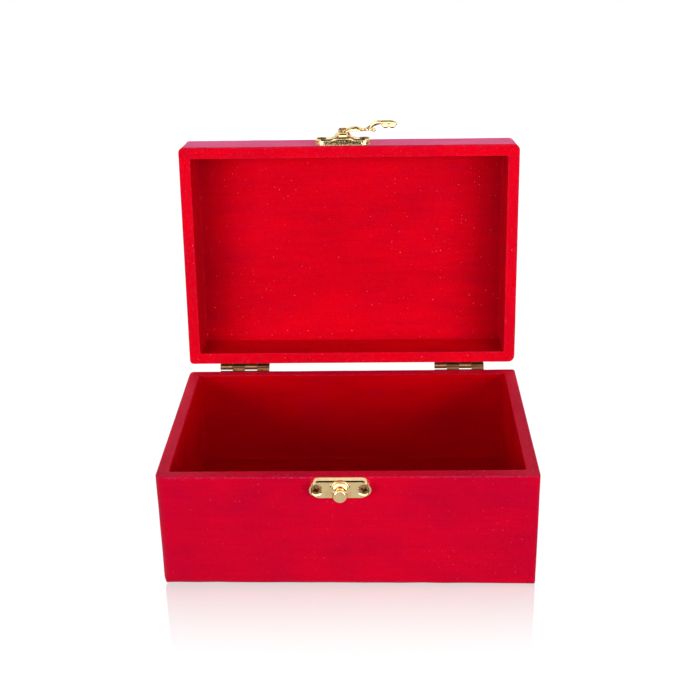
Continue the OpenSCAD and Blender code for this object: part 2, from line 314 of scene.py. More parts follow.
def painted_wood(name, thin, thick, gloss, flecks, bloom=0.0, dust=0.0, painted_shade=0.0):
    """Softwood with two brushed coats of matt red emulsion, rubbed down by hand.

    The eye gets a flat, even red with faint cloudy brushing along the grain, a few darker bruises
    where the coat is thick, pale pin-prick flecks of primer and a broken pale line along the rims,
    which is abraded paint and also a painted highlight on their rounding. Outside, a fine chalky
    bloom turns the red mauve where it is seen at a low angle. gloss is the colour of its weak shine,
    flecks is how well the brightest ones show, dust is how much pale sanding dust the paint holds,
    and the last argument is how much painted shade darkens it near the left and right inside walls,
    in place of the shadow that those walls cast.
    """
    material, tree = new_material(name)
    in_mm = in_millimetres(tree)
    grain = add(tree, "Attribute", attribute_name="grain").outputs["Vector"]
    edge_wear_and_highlight = add(tree, "Attribute", attribute_name="edge").outputs["Fac"]

    # Clouds of thin and thick paint about two brush widths long, and darker, bluer bruises a few
    # millimetres across, both drawn out along the grain
    brushed = add(tree, "Mapping", {"Vector": grain, "Scale": (0.45, 1, 1)})
    brushing, thicker = clouds(tree, brushed, 24, 4, 0.6, 0.36, 0.64)
    _, bruise = clouds(tree, brushed, 8, 6, 0.72, 0.46, 0.8, 0.0, 0.22)

    # Painted shade near the left and right inside walls, darkest at them, in place of the shadow that
    # those walls cast
    far_out = add(tree, "Math", {0: add(tree, "SeparateXYZ", {0: in_mm})}, operation="ABSOLUTE")
    painted_shade_factor = add(tree, "MapRange", {
        "Value": far_out, "From Min": inside_half_w - painted_shade_w, "From Max": inside_half_w - 1,
        "To Min": 1.0, "To Max": 1.0 - painted_shade}, interpolation_type="SMOOTHSTEP")

    # Grain that only just shows through, as streaks about 1 mm apart and many times as long
    streaked = add(tree, "Mapping", {"Vector": grain, "Scale": (0.045, 1, 1)})
    streaks, streak = clouds(tree, streaked, 1.3, 3, 0.6, 0.3, 0.7, 0.95, 1.04)

    # Stipple of the last coat, a little coarser than the real one so that it shows, and under that
    # coat sanding dust in grains about 1 mm apart
    grit, stipple = clouds(tree, in_mm, 0.9, 3, 0.7, 0.3, 0.7, 0.94, 1.06)
    _, dusting = clouds(tree, in_mm, 1.0, 4, 0.8, 0.5, 0.72, 0.0, dust)

    # Pale flecks 0.1 to 0.5 mm wide in some of the cells of 2.1 mm, and more of them in some places
    _, fewest = clouds(tree, in_mm, 34, 2, 0.5, 0.35, 0.65, 0.74, 0.1)
    cells = add(tree, "TexVoronoi", {"Vector": in_mm, "Scale": 1 / 2.1})
    chosen = add(tree, "SeparateColor", {0: cells.outputs["Color"]})
    fleck_r = add(tree, "MapRange", {
        "Value": chosen, "From Min": fewest, "From Max": 1, "To Min": 0.03, "To Max": 0.13})
    inside_r = add(tree, "Math", {0: cells, 1: fleck_r}, operation="LESS_THAN")
    fleck_tone = add(tree, "MapRange", {
        "Value": chosen.outputs[1], "To Min": flecks * 0.2, "To Max": flecks})
    fleck = add(tree, "Math", {0: inside_r, 1: fleck_tone}, operation="MULTIPLY")

    # Pale edges, abraded paint and also a painted highlight on the rounding, broken up by coarser grit
    _, rub = clouds(tree, in_mm, 1.6, 4, 0.75, 0.46, 0.68, 0.0, 0.5)
    rubbed_and_highlit = add(tree, "Math", {0: edge_wear_and_highlight, 1: rub}, operation="MULTIPLY")

    # From the thin coat up: how much of each layer shows, its colour or shade, and how it blends
    paint = colour(thin)
    for share, layer, way in (
            (thicker, colour(thick), "MIX"), (bruise, colour("#9c0436"), "MIX"),
            (1.0, painted_shade_factor, "MULTIPLY"), (1.0, streak, "MULTIPLY"), (1.0, stipple, "MULTIPLY"),
            (dusting, colour("#c8507c"), "MIX"), (fleck, colour("#f0a0a4"), "MIX"),
            (rubbed_and_highlit, colour("#c2627c"), "MIX")):
        paint = add(tree, "Mix", {0: share, 6: paint, 7: layer}, data_type="RGBA", blend_type=way)

    rough = add(tree, "MapRange", {
        "Value": brushing, "From Min": 0.3, "From Max": 0.7, "To Min": 0.5, "To Max": 0.62})
    relief = add(tree, "Math", {0: streaks, 1: 0.5, 2: grit}, operation="MULTIPLY_ADD")
    bump = add(tree, "Bump", {"Height": relief, "Strength": 0.3, "Distance": 0.12 * MM})
    shader = add(tree, "BsdfPrincipled", {
        "Base Color": paint, "Roughness": rough, "Normal": bump,
        "IOR": 1.5, "Specular IOR Level": 0.33, "Specular Tint": colour(gloss),
        "Sheen Weight": bloom, "Sheen Roughness": 0.26, "Sheen Tint": colour("#ff78c0")})
    add(tree, "OutputMaterial", {0: shader})
    return material


paint_outside = painted_wood(
    "matt red emulsion, outside", "#de0018", "#cc0016", "#ff00ff", 0.18, bloom=0.62, dust=0.08)
# The inside of the box gets a darker copy of the red as painted shade, in place of the shade deep in the
# box
paint_well_shaded = painted_wood("matt red emulsion inside, with painted shade", "#d00006", "#bc0004", "#ff0068", 0.1)
box_paints = (paint_well_shaded, paint_outside)

box_envelope = Envelope(0, box_h, box_h, lean=-0.35)
bottom_mesh = board_mesh("bottom board", bottom_low, bottom_high, box_envelope, 0, 0)
place_piece("painted_bottom_board", bottom_mesh, box_paints, "box", "painted_wood", "bottom_board")

# Side boards of the box
# Four softwood boards butted and glued at the corners, the front and back over the ends of the sides,
# sanded round outside and painted. The rim is left flat, with its inside edges only just broken.

# The grain of each board starts this far after that of the one before
grain_apart = 210


def side_boards(prefix, body, envelope, paints, down, first_grain, turn=as_made):
    """The four boards round the box or the lid, each from the extent of its CAD node."""
    halves = (inside_half_w, inside_half_d)
    for number, (where, along, side) in enumerate((
            ("front", 0, -1), ("back", 0, 1), ("left", 1, -1), ("right", 1, 1))):

        def rim_edge(point):
            """Axes, corner, outward ways and radius of the rounding at the inside edge of the rim."""
            fade = min(1, (halves[along] - abs(point[along])) / inner_fade)
            if fade <= 0:
                return None
            wall = 1 - along
            return (wall, 2), (side * halves[wall], envelope.rim_z), (side, down), inner_r * fade

        node = f"{prefix}{where}_board"
        start = first_grain + grain_apart * number
        mesh = board_mesh(node, *box_in_mm(node, turn), envelope, along, start, rim_edge, turn)
        place_piece(f"painted_{node}", mesh, paints, body, "painted_wood", node)


paint_rim = painted_wood("matt red emulsion, rim", "#f4001e", "#dc0020", "#ff00ff", 0.7, dust=0.58)
side_boards("", "box", box_envelope, (*box_paints, paint_rim), -1, 210)

# Paint in the inside corners
# Thin beads of red emulsion that gathered in the inside corners as the brush ran along them, and dried
# there a little proud. They are paint all through, and uneven along their length.

# Radius of a bead, how much it varies and over what length, the spacing of its rings, and how far it
# reaches into the wood
bead_r = 0.55
bead_share = 0.7
bead_length = 9.0
bead_step = 3.0
bead_bite = 0.05


def bridge(bm, lower, upper):
    """Adds the faces between two rings of vertices, of which one may be a single vertex."""
    for i in range(max(len(lower), len(upper))):
        corners = ((lower, i), (lower, i + 1), (upper, i + 1), (upper, i))
        bm.faces.new(dict.fromkeys(ring[k % len(ring)] for ring, k in corners))


def mesh_of(name, bm):
    """A mesh with the faces of a bmesh turned outwards. The bmesh is used up."""
    bmesh.ops.recalc_face_normals(bm, faces=bm.faces)
    mesh = bpy.data.meshes.new(name)
    bm.to_mesh(mesh)
    bm.free()
    return mesh


def paint_beads(name, floor_z, rim_z, body, paint, turn=as_made):
    """Concave beads in the four upright corners and along the floor, for the box or the lid."""
    up = 1 if rim_z > floor_z else -1
    x, y = inside_half_w, inside_half_d
    top_z = rim_z - up * inner_r
    # The start and end of each bead, and the ways out from its corner along both walls
    runs = []
    for sx in (-1, 1):
        for sy in (-1, 1):
            runs.append(((sx * x, sy * y, floor_z), (sx * x, sy * y, top_z), (-sx, 0, 0), (0, -sy, 0)))
        runs.append(((-x, sx * y, floor_z), (x, sx * y, floor_z), (0, -sx, 0), (0, 0, up)))
        runs.append(((sx * x, -y, floor_z), (sx * x, y, floor_z), (-sx, 0, 0), (0, 0, up)))
    bm = bmesh.new()
    for run in runs:
        start, end, one, other = (Vector(point) for point in run)
        count = max(2, round((end - start).length / bead_step))
        previous = None
        for i in range(count + 1):
            spot = start.lerp(end, i / count)
            radius = bead_r * (1 + bead_share * noise.noise(spot / bead_length + one * 3.1))
            section = [(-bead_bite, -bead_bite), (radius, -bead_bite)]
            for angle in map(math.radians, range(0, 91, 18)):
                section.append((radius * (1 - math.sin(angle)), radius * (1 - math.cos(angle))))
            section.append((-bead_bite, radius))
            ring = [bm.verts.new(turn @ ((spot + one * a + other * b) * MM)) for a, b in section]
            if previous:
                bridge(bm, ring, previous)
            if i in (0, count):
                bm.faces.new(ring)
            previous = ring
    place_piece(name, mesh_of(name, bm), (paint,), body, "painted_wood")


paint_beads("painted_box_corners", bottom_high.z, box_h, "box", paint_well_shaded)

# Lid
# Four low boards joined in the same way, closed by a thin panel over the whole top and painted with the
# box. It is made shut, like the real one, and then turned back about the hinge pins.

joints = {joint["name"]: joint for joint in frame["joints"]}
open_angle = math.radians(joints["lid_hinge"]["range_deg"][1])
to_line = Matrix.Translation(Vector(joints["lid_hinge"]["pos_m"]))
opened = to_line @ Matrix.Rotation(-open_angle, 4, "X") @ to_line.inverted()
panel_low, panel_high = box_in_mm("lid_top_panel", opened)
lid_z = box_in_mm("lid_left_board", opened)[0].z
lid_envelope = Envelope(lid_z, panel_high.z, lid_z, lean=0.2)

# Inside the lid the red darkens near the left and right walls as painted shade, in place of their shadow
paint_lid = painted_wood(
    "matt red emulsion, inside the lid", "#ea0010", "#d8000e", "#ff0080", 0.52, dust=0.08, painted_shade=0.32)
paint_lid_rim = painted_wood("matt red emulsion, lid rim", "#f60012", "#e60010", "#ff0080", 0.5, dust=0.2)
lid_paints = (paint_lid, paint_outside, paint_lid_rim)
side_boards("lid_", "lid", lid_envelope, lid_paints, 1, 1210, opened)
panel_mesh = board_mesh("lid panel", panel_low, panel_high, lid_envelope, 0, 2400, turn=opened)
place_piece("painted_lid_top_panel", panel_mesh, lid_paints[:2], "lid", "painted_wood", "lid_top_panel")
paint_beads("painted_lid_corners", panel_low.z, lid_z, "lid", paint_lid, opened)

# Hinges
# Two butt hinges of pressed sheet brass, lacquered and gone brown, each with four rolled knuckles on a
# drawn pin. Each leaf is held by two brass wood screws with countersunk heads.


def brass(name, light, dark, roughness, patches, relief=(None, 0.4, 0.06)):
    """Brass in two tones, whose darker patches are also rougher.

    patches are the size, detail, roughness and levels of their clouds. relief is the size of its
    bumps, or None where they follow the patches, and their strength and depth.
    """
    material, tree = new_material(name)
    in_mm = in_millimetres(tree)
    patchy, darker = clouds(tree, in_mm, *patches)
    tone = add(tree, "Mix", {0: darker, 6: colour(light), 7: colour(dark)}, data_type="RGBA")
    rough = add(tree, "MapRange", {
        "Value": patchy, "From Min": 0.3, "From Max": 0.7, "To Min": roughness[0], "To Max": roughness[1]})
    size, strength, depth = relief
    height = add(tree, "TexNoise", {"Vector": in_mm, "Scale": 1 / size, "Detail": 2}) if size else patchy
    bump = add(tree, "Bump", {"Height": height, "Strength": strength, "Distance": depth * MM})
    shader = add(tree, "BsdfPrincipled", {
        "Base Color": tone, "Metallic": 1.0, "Roughness": rough, "Normal": bump})
    add(tree, "OutputMaterial", {0: shader})
    return material


# Under old lacquer brass looks brownish and half dull, and darker where tarnish sits in patches
tarnish = (1.8, 5, 0.7, 0.34, 0.72)
dull_brass = brass("sheet brass under old lacquer", "#b08e60", "#7e5c36", (0.3, 0.46), tarnish)
dark_brass = brass("sheet brass under old lacquer, darker", "#805a3a", "#583a22", (0.3, 0.46), tarnish)
for hinge in ("left", "right"):
    for part in ("box_leaf", "lid_leaf", "pin", "box_screws", "lid_screws"):
        looks = frame["nodes"][f"{hinge}_hinge_{part}"].data.materials
        looks.clear()
        looks.append(dark_brass if part.startswith("box") else dull_brass)

# Catch
# A die-cast plate with round ends, brass plated and polished, held to the front board by two
# countersunk screws. A turned knob is riveted through the raised middle of the plate.

# The plate: its size, how far its bevel reaches down and inwards, and how soft a casting's edges are
plate_l = 27.0
plate_w = 9.4
plate_t = 2.8
bevel_down = 0.85
bevel_in = 0.5
cast_soft = 0.08
# Its screws: their distance from the middle, their head and shank, how deep they sit, and their play
plate_screw_x = 10.3
plate_screw_r = 2.3
screw_shank_r = plate_screw_r * 0.55
screw_sink = 0.5
screw_play = 0.02
# Its mesh: the reach of its middle part, the spacing along its edge, the steps in a quarter of a round
# end, the rings from its edge to a hole, and the steps across it at the ends of the middle part
plate_part_x = 6.6
outline_step = 0.7
quarter_steps = 12
ring_count = 12
seam_steps = 10
# A length under this counts as none
tiny = 1e-6


def soft_corners(points, reach, steps=3):
    """An open line of 2-D points, each corner turned into a curve on at most 0.45 of its sides."""
    result = [Vector(points[0])]
    for before, corner, after in zip(points, points[1:], points[2:]):
        corner = Vector(corner)
        back, forth = Vector(before) - corner, Vector(after) - corner
        length = min(reach, back.length * 0.45, forth.length * 0.45)
        start = corner + back.normalized() * length
        end = corner + forth.normalized() * length
        for i in range(steps + 1):
            t = i / steps
            result.append(start * (1 - t) ** 2 + corner * 2 * t * (1 - t) + end * t ** 2)
    result.append(Vector(points[-1]))
    return result


def plate_outline(inset):
    """Points round a plate with round ends, anticlockwise, this far inside its widest outline."""
    end_r = plate_w / 2
    end_x = plate_l / 2 - end_r
    stops = (-end_x, -plate_part_x, plate_part_x, end_x)
    points = []
    for way in (1, -1):
        for a, b in zip(stops, stops[1:]):
            count = math.ceil((b - a) / outline_step)
            points += [(way * (a + (b - a) * i / count), way * (inset - end_r)) for i in range(count)]
        for i in range(2 * quarter_steps):
            turn = math.radians(90 * i / quarter_steps - 90)
            x, y = (end_r - inset) * math.cos(turn), (end_r - inset) * math.sin(turn)
            points.append((way * (end_x + x), way * y))
    return points


def plate(bore_r, draft, foot_r=1, top_r=0, rise=0):
    """A plate with its bore and two screw seats, as a closed bmesh.

    draft is how far its sides lean in up to the bevel, so that the casting leaves its mould. Its
    middle rises as a dome from foot_r to top_r.
    """
    bm = bmesh.new()
    seat_z = plate_t - screw_sink
    seat_r = plate_screw_r + screw_sink
    hole_r = screw_shank_r + screw_play
    # Holes as (radius, height) from the top down, and the part of the plate round each
    seat = [
        (seat_r + 0.12, plate_t), (seat_r + 0.05, plate_t - 0.02), (seat_r - 0.02, plate_t - 0.08),
        (plate_screw_r + screw_play, seat_z), (hole_r, seat_z - plate_screw_r + screw_shank_r),
        (hole_r, 0)]
    bore = [(bore_r, plate_t + rise), (bore_r, plate_t / 2), (bore_r, 0)]
    parts = [
        (-plate_l / 2, -plate_part_x, -plate_screw_x, seat),
        (-plate_part_x, plate_part_x, 0, bore),
        (plate_part_x, plate_l / 2, plate_screw_x, seat)]

    def lift(x, y):
        share = max(0, min(1, (foot_r - math.hypot(x, y)) / (foot_r - top_r)))
        return rise * share * share * (3 - 2 * share)

    def inner_ring(outer, hole_x, radius, share, height):
        """Vertices this share of the way from an outer ring to a circle round a hole's middle."""
        ring = []
        for v in outer:
            out = Vector((v.co.x - hole_x, v.co.y))
            x, y = out.lerp(out.normalized() * radius, share)
            ring.append(bm.verts.new((x + hole_x, y, height(x + hole_x, y))))
        return ring

    def flat_face(edge, height, end):
        """The top or the underside, as a fan of rings round each hole, and the last ring of each."""
        seams, circles = {}, []
        for x in (-plate_part_x, plate_part_x):
            low_y, high_y = sorted(v.co.y for v in edge if abs(v.co.x - x) < tiny)
            ys = [low_y + (high_y - low_y) * i / seam_steps for i in range(1, seam_steps)]
            seams[x] = [bm.verts.new((x, y, height(x, y))) for y in ys]
        for left, right, hole_x, hole in parts:
            border = [v for v in edge if left - tiny <= v.co.x <= right + tiny]
            border += [v for x, seam in seams.items() if x in (left, right) for v in seam]
            border.sort(key=lambda v: math.atan2(v.co.y, v.co.x - hole_x))
            previous = border
            for k in range(1, ring_count + 1):
                ring = inner_ring(border, hole_x, hole[end][0], k / ring_count, height)
                bridge(bm, previous, ring)
                previous = ring
            circles.append(previous)
        return circles

    bevel_foot = draft + bevel_in
    sides = soft_corners([
        (0, 0), (0.05, 0.1), (draft, plate_t - bevel_down), (bevel_foot, plate_t),
        (bevel_foot + 0.25, plate_t)], cast_soft)
    rings = []
    for inset, z in sides:
        share = min(1, z / (plate_t - bevel_down))
        rings.append([bm.verts.new((x, y, z + share * lift(x, y))) for x, y in plate_outline(inset)])
    for lower, upper in zip(rings, rings[1:]):
        bridge(bm, lower, upper)
    tops = flat_face(rings[-1], lambda x, y: plate_t + lift(x, y), 0)
    feet = flat_face(rings[0], lambda x, y: 0, -1)
    for (_, _, hole_x, hole), previous, foot in zip(parts, tops, feet):
        for radius, z in hole[1:-1]:
            ring = inner_ring(previous, hole_x, radius, 1, lambda x, y: z)
            bridge(bm, previous, ring)
            previous = ring
        bridge(bm, previous, foot)
    return bm


def finish_faces(mesh, out, least, most=2):
    """Gives the second material to the faces that look this way by more than least, less than most."""
    for polygon in mesh.polygons:
        polygon.material_index = int(least < polygon.normal.dot(out) < most)


def lathe(profile, segments=64, ripple=None, bm=None):
    """(Radius, height) points turned round the Z axis, from the foot up, as a closed bmesh.

    A profile that ends where it starts makes a ring. ripple(radius, height, turn) moves its points.
    """
    bm = bm or bmesh.new()
    closed = (Vector(profile[0]) - Vector(profile[-1])).length < tiny
    rings = []
    for radius, z in profile[:-1] if closed else profile:
        ring = []
        for i in range(segments if radius > tiny else 1):
            turn = 2 * math.pi * i / segments
            r, up = ripple(radius, z, turn) if ripple else (radius, z)
            ring.append(bm.verts.new((r * math.cos(turn), r * math.sin(turn), up)))
        rings.append(ring)
    for lower, upper in zip(rings, rings[1:] + rings[:1] if closed else rings[1:]):
        bridge(bm, lower, upper)
    return bm


def mesh_at(name, bm, place):
    """Mesh in metres from a bmesh in millimetres, put in its place on the box."""
    mesh = mesh_of(name, bm)
    mesh.transform(place @ Matrix.Scale(MM, 4))
    return mesh


def on_front(x, z):
    """Place on the front of the shut box: X to the right, Y up and Z out of the front board."""
    return Matrix.Translation(Vector((x, -box_d / 2, z)) * MM) @ Matrix.Rotation(math.pi / 2, 4, "X")


# Brass plating on a polished casting looks pale gold, with bright edges, brown-green darks where it
# mirrors the dark of the room, and a faint orange-peel, since the casting under it isn't quite flat
mottle = (4, 0.6, 0.45, 0.72)
peel = (0.7, 0.3, 0.04)
gold = brass("brass plating, polished", "#f9dca6", "#ecc98c", (0.09, 0.18), (2.2, *mottle), peel)
gold_face = brass("brass plating, satin", "#f7dba8", "#e2c08c", (0.26, 0.4), (0.8, *mottle), peel)
screw_brown = brass("screw brass, gone brown", "#c8a070", "#80603c", (0.2, 0.34), tarnish)

knob_low, knob_high = box_in_mm("catch_knob")
latch_x = (knob_low.x + knob_high.x) / 2
catch_place = on_front(latch_x, (knob_low.z + knob_high.z) / 2)

# The catch plate's middle is a flat round step, and the knob's shank goes through it
catch_draft = 0.45
catch_bore_r = 1.6
step_foot_r = 4.7
step_top_r = 4.3
step_h = 0.5
step_low = (catch_bore_r, plate_t - step_h)
step_profile = [step_low, *soft_corners([
    (step_foot_r, plate_t - step_h), (step_foot_r, plate_t + 0.06), (step_top_r, plate_t + step_h),
    (catch_bore_r, plate_t + step_h)], 0.1), step_low]
catch_bm = lathe(step_profile, bm=plate(catch_bore_r, catch_draft))
catch_mesh = mesh_at("catch plate", catch_bm, catch_place)
# Its flat faces are satin, and its bevels polished
finish_faces(catch_mesh, Vector((0, -1, 0)), 0.995)
place_piece("gold_catch_plate", catch_mesh, (gold, gold_face), "box", "bright_brass", "catch_plate")

# The knob, from the collar that rests on the plate to the front of the head
collar_h = 1.1
collar_foot_r = (knob_high.x - knob_low.x) / 2
collar_top_r = 2.8
collar_z = plate_t + step_h
knob_neck_r = 1.7
knob_head_r = 3.15
knob_head_t = 1.2
knob_bevel = 0.62
knob_soft = 0.25
knob_reach = -knob_low.y - box_d / 2
knob_profile = [(0, collar_z - 1), (collar_foot_r - 0.3, collar_z - 0.3), *soft_corners([
    (collar_foot_r, collar_z - 0.1), (collar_foot_r, collar_z + 0.25), (collar_top_r, collar_z + collar_h),
    (knob_neck_r, collar_z + collar_h), (knob_neck_r, knob_reach - knob_head_t),
    (knob_head_r, knob_reach - knob_head_t), (knob_head_r, knob_reach - knob_bevel),
    (knob_head_r - knob_bevel, knob_reach), (0, knob_reach)], knob_soft, 4)]
place_piece(
    "gold_knob", mesh_at("knob", lathe(knob_profile), catch_place), (gold,), "box", "bright_brass",
    "catch_knob")

# Cross recess of a screw head, as shares of the head's diameter: arm width, arm length and depth
recess_shares = (0.2, 0.66, 0.36)
# How wide the cross slopes at its sides, and at its ends as a share of its length
recess_side = 0.12
recess_end = 0.22
# Share of the head that is flat, the rings over it, and how far the left and right screw are turned
screw_flat = 0.97
screw_rings = 18
screw_turns = (24, 71)


def plate_screws(name, node, place, body, tip_z, head_z, metal):
    """The two countersunk screws of a plate, with a pressed cross recess in each head."""
    width, length, depth = (2 * plate_screw_r * share for share in recess_shares)

    def recessed(radius, z, turn):
        """Sinks the points of the flat head that lie in the cross, less towards its ends."""
        x, y = abs(radius * math.cos(turn)), abs(radius * math.sin(turn))
        if z < head_z - tiny or radius >= plate_screw_r * screw_flat:
            return radius, z
        side = max(0, min(1, (width / 2 - min(x, y)) / recess_side + 0.5))
        end = max(0, min(1, (length / 2 - max(x, y)) / (length * recess_end)))
        return radius, z - depth * side * end

    profile = [
        (0, tip_z), (screw_shank_r * 0.7, tip_z + 1), (screw_shank_r, tip_z + 3),
        (screw_shank_r, head_z - plate_screw_r + screw_shank_r), (plate_screw_r, head_z - 0.08),
        (plate_screw_r * screw_flat, head_z)]
    profile += [(plate_screw_r * 0.95 * (1 - i / screw_rings), head_z) for i in range(screw_rings + 1)]
    bm = bmesh.new()
    for side, turned in zip((-1, 1), screw_turns):
        before = set(bm.verts)
        lathe(profile, 72, recessed, bm)
        new = [v for v in bm.verts if v not in before]
        spin = Matrix.Rotation(math.radians(turned), 4, "Z")
        bmesh.ops.transform(bm, matrix=Matrix.Translation((side * plate_screw_x, 0, 0)) @ spin, verts=new)
    place_piece(name, mesh_at(name, bm, place), (metal,), body, "aged_brass", node)


screw_tip = -box_in_mm("catch_screws")[1].y - box_d / 2
plate_screws(
    "catch_plate_screws", "catch_screws", catch_place, "box", screw_tip, plate_t - screw_sink, screw_brown)

# Latch
# A second plate of the same casting on the front of the lid, with a cast hook that swings on a
# brass rivet. The rivet's end is peened over the hub in a rough little flower.

rivet_spot = opened.inverted() @ Vector(joints["hook_pivot"]["pos_m"]) / MM
latch_place = opened @ on_front(latch_x, rivet_spot.z)

# The raised middle of the latch plate: radius at its foot and at its top, and height
latch_dome = (7.3, 4.9, 0.9)
latch_draft = 0.12
latch_bore_r = 1.25
latch_mesh = mesh_at("latch plate", plate(latch_bore_r, latch_draft, *latch_dome), latch_place)
# Its walls were never polished, and are pitted as they came out of the mould
gold_cast = brass(
    "brass plating, as cast", "#f2d49c", "#b8945c", (0.12, 0.24), (0.9, *mottle), (0.8, 0.3, 0.8))
finish_faces(latch_mesh, latch_place.to_3x3() @ Vector((0, 0, 1)), -0.5, 0.4)
place_piece("gold_latch_plate", latch_mesh, (gold, gold_cast), "lid", "bright_brass", "latch_plate")
# Its two screws stand a little proud of it
screw_proud = 0.3
screw_tip = -box_in_mm("latch_screws", opened)[1].y - box_d / 2
screw_dark = brass("screw brass, gone dark", "#8c5e30", "#543618", (0.28, 0.42), tarnish)
plate_screws(
    "latch_plate_screws", "latch_screws", latch_place, "lid", screw_tip, plate_t + screw_proud, screw_dark)

# Hub and rivet, with heights above the lid's front, and the bell of the hub from its bore outwards
hub_z = plate_t + latch_dome[2] + 0.05
hub_top = 5.95
hub_bore_r = 1.3
hub_bell = [
    (hub_bore_r, hub_z), (3.95, hub_z), (4.05, hub_z + 0.08), (3.98, hub_z + 0.3), (3.8, hub_z + 0.8),
    (3.55, hub_z + 1.3), (3.2, hub_z + 1.65), (2.7, hub_z + 1.95), (2.2, hub_z + 2.15), (1.9, hub_top),
    (hub_bore_r, hub_top), (hub_bore_r, hub_z)]
rivet_head_r = 2.05
rivet_head_h = 1.75
rivet_r = 1.2
# Petals of the rivet's end: how many, the share by which they reach out, and how high they rise
petals = 7
petal_out = 0.12
petal_up = 0.3

# The hook's middle line and half sizes: its open mouth, and then its arm, raised stem and strap
mouth_x = 12.4
mouth_r = 2.75
mouth_z = 6.72
mouth_half_w = 0.8
mouth_half_t = 0.74
prong_turn = -26
arm_line = [(1.7, 0.25, 6.5, 2.2, 0.9), (3.2, 0.2, 7.0, 2.0, 1.0), (4.6, 0.2, 7.3, 2.35, 1.12),
            (6.6, 0.25, 7.35, 1.7, 1.08), (8.3, 0.3, 7.05, 2.25, 0.86), (9.4, 0.5, 6.74, 1.5, 0.72)]
stem_line = [(11.6, 3.4, 6.8, 0.9, 0.75), (12.9, 4.3, 7.3, 0.9, 0.8), (14.6, 4.45, 8.6, 0.9, 1.0),
             (16.6, 4.4, 9.5, 0.9, 1.05), (18.9, 4.3, 9.8, 0.9, 0.85)]
strap_line = [(18.6, 4.2, 9.9, 1.3, 0.78), (20.9, 4.2, 10.0, 1.5, 0.82), (23.6, 4.2, 9.95, 1.5, 0.8),
              (25.2, 4.2, 9.45, 1.5, 0.74), (25.7, 4.2, 8.7, 1.4, 0.6)]
# Two round pads under the strap, which lean back so that a thumb nail finds them, with fronts that bulge
pad_xs = (20.7, 24.05)
pad_y = 3.5
pad_z = 8.62
pad_r = 1.85
pad_half_t = 0.4
pad_bulge = 0.6
pad_lean = 21
pad_bevel = 0.6
# Upper half of a rod's section, as shares of its half sizes at turns of 0 to 90 degrees
rod_upper = [(0, 1.0, 0.0), (20, 0.93, 0.22), (60, 0.56, 0.84), (90, 0.0, 1.0)]
rod_sides = 36
# The lower half is a rounded rectangle, from this power of the sine and cosine
rod_power = 2 / 7
# Turns of the rings over the round end of a rod
cap_turns = (25, 50, 72, 86)


def curve_through(points, steps=6):
    """Points along a smooth curve through the given ones, which may have any number of values."""
    def between(a, b, c, d, t):
        bend = (2 * a - 5 * b + 4 * c - d) * t * t + (3 * b - a - 3 * c + d) * t ** 3
        return 0.5 * (2 * b + (c - a) * t + bend)

    result = []
    for i in range(len(points) - 1):
        around = [points[max(0, min(len(points) - 1, i + k))] for k in (-1, 0, 1, 2)]
        for j in range(steps):
            result.append([between(*values, j / steps) for values in zip(*around)])
    result.append(list(points[-1]))
    return result


def rod(rings, flare=0.4):
    """A closed rod with round ends. Each ring is its middle, two directions and two half sizes.

    It is flat below, where it flares a little, as a casting does at its parting line, and flattened
    above between two slanting faces.
    """
    ends = []
    for (middle, one, other, half_one, half_other), then in ((rings[0], rings[1]), (rings[-1], rings[-2])):
        out = (middle - then[0]).normalized() * min(half_one, half_other)
        for angle in map(math.radians, cap_turns):
            less = math.cos(angle)
            ends.append((middle + out * math.sin(angle), one, other, half_one * less, half_other * less))
    bm = bmesh.new()
    previous = None
    count = len(cap_turns)
    for middle, one, other, half_one, half_other in ends[:count][::-1] + rings + ends[count:]:
        ring = []
        for i in range(rod_sides):
            turn = 2 * math.pi * i / rod_sides
            c, s = math.cos(turn), math.sin(turn)
            if s > 0:
                angle = math.degrees(math.atan2(s, abs(c)))
                (t0, a0, b0), (t1, a1, b1) = next(
                    pair for pair in zip(rod_upper, rod_upper[1:]) if angle <= pair[1][0] + tiny)
                share = (angle - t0) / (t1 - t0)
                a, b = a0 + (a1 - a0) * share, b0 + (b1 - b0) * share
            else:
                a, b = abs(c) ** rod_power, -abs(s) ** rod_power
            a = math.copysign(a, c) * (half_one + flare * max(0, -b * half_other))
            ring.append(bm.verts.new(middle + one * a + other * b * half_other))
        if previous:
            bridge(bm, previous, ring)
        else:
            bm.faces.new(ring[::-1])
        previous = ring
    bm.faces.new(previous)
    return bm


def along(line):
    """Rings for a rod along a line of points, each with its half size across and its half thickness."""
    side = Vector((0, 1, 0))
    points = curve_through(line)
    rings = []
    for i, point in enumerate(points):
        ahead = Vector(points[min(i + 1, len(points) - 1)][:3]) - Vector(points[max(i - 1, 0)][:3])
        rings.append((Vector(point[:3]), side, ahead.cross(side).normalized(), point[3], point[4]))
    return rings


def pad_edge(radius, z, turn):
    """Bevels the front edge of a pad at its top and sides, and leaves it sharp at its foot."""
    if z < pad_half_t + tiny or radius < pad_r / 2:
        return radius, z
    return radius - pad_bevel * (0.5 + 0.5 * math.sin(turn)), z


mouth_rings = []
for angle in map(math.radians, range(170, prong_turn - 1, -7)):
    out = Vector((math.cos(angle), math.sin(angle), 0))
    middle = Vector((mouth_x, 0, mouth_z)) + out * mouth_r
    mouth_rings.append((middle, out, Vector((0, 0, 1)), mouth_half_w, mouth_half_t))
cast_parts = [
    lathe(hub_bell), rod(along(arm_line)), rod(mouth_rings, flare=0), rod(along(stem_line), flare=0.2),
    rod(along(strap_line))]
pad_front = pad_half_t + pad_bulge
pad_profile = [
    (0, -pad_half_t), (pad_r - 0.4, -pad_half_t), (pad_r, pad_half_t), (pad_r - 0.08, pad_front - 0.15),
    (pad_r - 0.3, pad_front - 0.08), (pad_r * 0.4, pad_front), (0, pad_front)]
for x in pad_xs:
    pad = lathe(pad_profile, 40, pad_edge)
    lean = Matrix.Rotation(math.radians(90 - pad_lean), 4, "X")
    bmesh.ops.transform(pad, matrix=Matrix.Translation((x, pad_y, pad_z)) @ lean, verts=pad.verts)
    cast_parts.append(pad)

